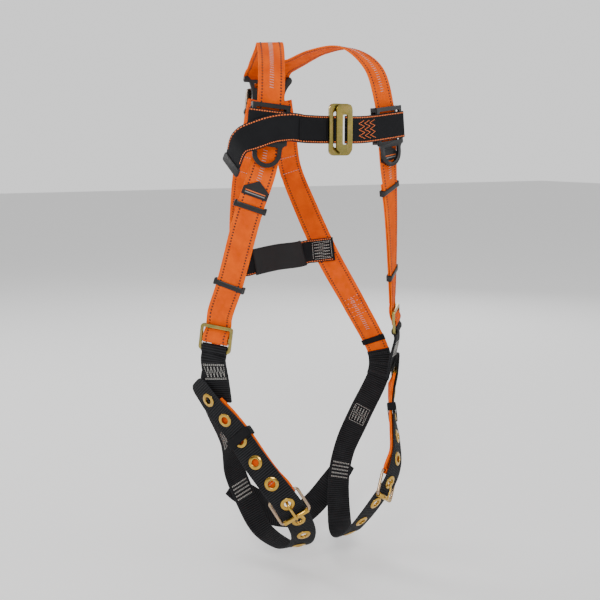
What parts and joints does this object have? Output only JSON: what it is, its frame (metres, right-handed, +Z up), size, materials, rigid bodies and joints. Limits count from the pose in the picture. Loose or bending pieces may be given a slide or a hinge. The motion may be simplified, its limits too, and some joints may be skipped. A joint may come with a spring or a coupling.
{
  "type": "full body safety harness",
  "caption": "Full-body fall-arrest harness with a dorsal D-ring, chest strap, torso adjusters and tongue-buckle leg straps with grommets.",
  "frame": {"origin": "on the midline at the height of the shoulder crests, where the wearer's shoulders carry the harness", "axes": "+Z up, -Y to the wearer's front, +X to the wearer's left"},
  "size_m": [0.4246, 0.3133, 0.8926],
  "materials": {
    "orange_webbing": "matt woven polyester",
    "black_webbing": "matt woven polyester with a cross rib",
    "black_plastic": "fine-textured moulded plastic",
    "zinc_plated_steel": "yellow passivated zinc plate",
    "forged_steel": "forged steel, plated",
    "yellow_label": "woven tape",
    "black_label": "smooth woven tape"
  },
  "bodies": {
    "harness": {"front_strap_left": "orange_webbing", "shoulder_strap_left": "orange_webbing", "strap_tail_left": "orange_webbing", "back_strap_left": "orange_webbing", "hip_band_left": "black_webbing", "hip_wrap_left": "black_webbing", "leg_strap_left": "black_webbing", "grommet_strap_left": "black_webbing", "leg_lining_left": "orange_webbing", "torso_loop_left": "black_webbing", "wear_tag_left": "yellow_label", "torso_adjuster_left": "zinc_plated_steel", "leg_buckle_left": "forged_steel", "front_strap_right": "orange_webbing", "shoulder_strap_right": "orange_webbing", "strap_tail_right": "orange_webbing", "back_strap_right": "orange_webbing", "hip_band_right": "black_webbing", "hip_wrap_right": "black_webbing", "leg_strap_right": "black_webbing", "grommet_strap_right": "black_webbing", "leg_lining_right": "orange_webbing", "torso_loop_right": "black_webbing", "wear_tag_right": "yellow_label", "torso_adjuster_right": "zinc_plated_steel", "leg_buckle_right": "forged_steel", "dorsal_crossing": "orange_webbing", "dorsal_pad": "black_plastic", "lumbar_strap": "black_webbing", "label_sleeve": "black_label", "sub_pelvic_strap": "black_webbing", "label_left": "black_label", "label_right": "black_label"},
    "dorsal_ring": {"dorsal_ring": "forged_steel"},
    "chest": {"chest_slider_left": "black_plastic", "chest_slider_right": "black_plastic", "chest_strap_left": "black_webbing", "chest_strap_right": "black_webbing", "chest_tail": "black_webbing", "chest_buckle_ring": "zinc_plated_steel", "chest_buckle_tab": "zinc_plated_steel", "chest_keeper": "black_webbing", "chest_tail_cap": "black_plastic"},
    "tongue_left": {"buckle_tongue_left": "zinc_plated_steel"},
    "roller_left": {"buckle_roller_left": "zinc_plated_steel"},
    "friction_bar_left": {"friction_bar_left": "zinc_plated_steel"},
    "upper_keeper_left": {"upper_keeper_left": "black_plastic"},
    "lower_keeper_left": {"lower_keeper_left": "black_plastic"},
    "leg_keeper_left": {"leg_keeper_left": "black_plastic"},
    "tongue_right": {"buckle_tongue_right": "zinc_plated_steel"},
    "roller_right": {"buckle_roller_right": "zinc_plated_steel"},
    "friction_bar_right": {"friction_bar_right": "zinc_plated_steel"},
    "upper_keeper_right": {"upper_keeper_right": "black_plastic"},
    "lower_keeper_right": {"lower_keeper_right": "black_plastic"},
    "leg_keeper_right": {"leg_keeper_right": "black_plastic"}
  },
  "joints": [
    {"name": "dorsal_ring_swing", "type": "hinge", "parent": "harness", "child": "dorsal_ring", "pos_m": [0, 0.139, -0.069], "axis": [1, 0, 0], "range_deg": [-4, 120]},
    {"name": "chest_strap_height", "type": "slide", "parent": "harness", "child": "chest", "axis": [0, 0, 1], "range_m": [-0.008, 0.002]},
    {"name": "tongue_left_lift", "type": "hinge", "parent": "harness", "child": "tongue_left", "pos_m": [0.1089, -0.1371, -0.75289], "axis": [-0.7686, -0.3687, 0.5229], "range_deg": [0, 3]},
    {"name": "roller_left_spin", "type": "hinge", "parent": "harness", "child": "roller_left", "pos_m": [0.08939, -0.14952, -0.79033], "axis": [0.7686, 0.3687, -0.5229], "continuous": true},
    {"name": "friction_bar_left_slide", "type": "slide", "parent": "harness", "child": "friction_bar_left", "axis": [-0.1105, -0.0664, 0.9917], "range_m": [-0.001, 0]},
    {"name": "upper_keeper_left_slide", "type": "slide", "parent": "harness", "child": "upper_keeper_left", "axis": [-0.2694, -0.2362, 0.9336], "range_m": [-0.008, 0.008]},
    {"name": "lower_keeper_left_slide", "type": "slide", "parent": "harness", "child": "lower_keeper_left", "axis": [-0.2054, -0.2471, 0.947], "range_m": [-0.006, 0.006]},
    {"name": "leg_keeper_left_slide", "type": "slide", "parent": "harness", "child": "leg_keeper_left", "axis": [0.2876, 0.6311, 0.7205], "range_m": [-0.006, 0.006]},
    {"name": "tongue_right_lift", "type": "hinge", "parent": "harness", "child": "tongue_right", "pos_m": [-0.1089, -0.1371, -0.75289], "axis": [-0.7686, 0.3687, -0.5229], "range_deg": [0, 3]},
    {"name": "roller_right_spin", "type": "hinge", "parent": "harness", "child": "roller_right", "pos_m": [-0.08939, -0.14952, -0.79033], "axis": [0.7686, -0.3687, 0.5229], "continuous": true},
    {"name": "friction_bar_right_slide", "type": "slide", "parent": "harness", "child": "friction_bar_right", "axis": [0.1105, -0.0664, 0.9917], "range_m": [-0.001, 0]},
    {"name": "upper_keeper_right_slide", "type": "slide", "parent": "harness", "child": "upper_keeper_right", "axis": [0.2422, -0.2253, 0.9437], "range_m": [-0.008, 0.008]},
    {"name": "lower_keeper_right_slide", "type": "slide", "parent": "harness", "child": "lower_keeper_right", "axis": [0.2054, -0.2471, 0.947], "range_m": [-0.006, 0.006]},
    {"name": "leg_keeper_right_slide", "type": "slide", "parent": "harness", "child": "leg_keeper_right", "axis": [-0.2876, 0.6311, 0.7205], "range_m": [-0.006, 0.006]}
  ]
}
